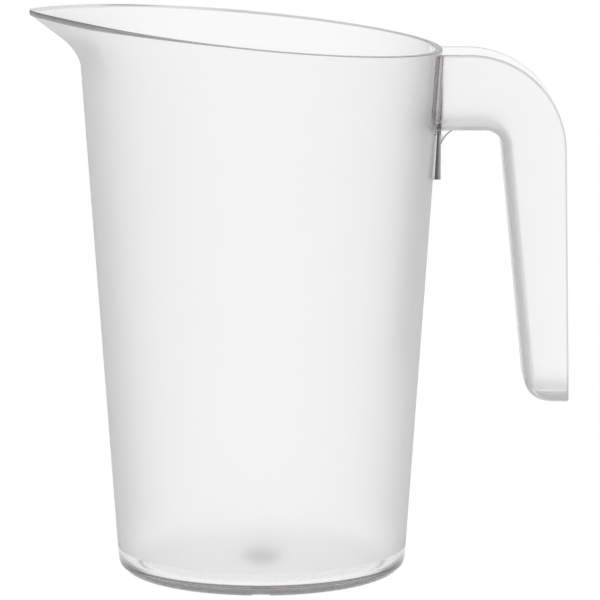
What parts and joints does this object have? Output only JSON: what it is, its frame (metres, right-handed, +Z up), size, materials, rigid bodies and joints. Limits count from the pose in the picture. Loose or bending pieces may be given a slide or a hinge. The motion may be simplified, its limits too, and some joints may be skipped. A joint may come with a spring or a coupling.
{
  "type": "beer pitcher",
  "caption": "Tapered frosted-plastic jug with a sloping rim, a V-shaped pouring beak and an open U-channel handle with a free lower end, for serving beer.",
  "frame": {"origin": "on the axis of the tapered body, in the plane of the foot ring that it stands on", "axes": "+Z up along the body's axis, +X towards the handle, -X towards the pouring beak"},
  "size_m": [0.1903, 0.1288, 0.2008],
  "materials": {
    "frosted_plastic": "frosted outside, polished inside, at the rim and at the foot",
    "frosted_handle": "frosted, polished at the root"
  },
  "bodies": {
    "root": {"vessel": "frosted_plastic", "handle": "frosted_handle"}
  },
  "joints": []
}
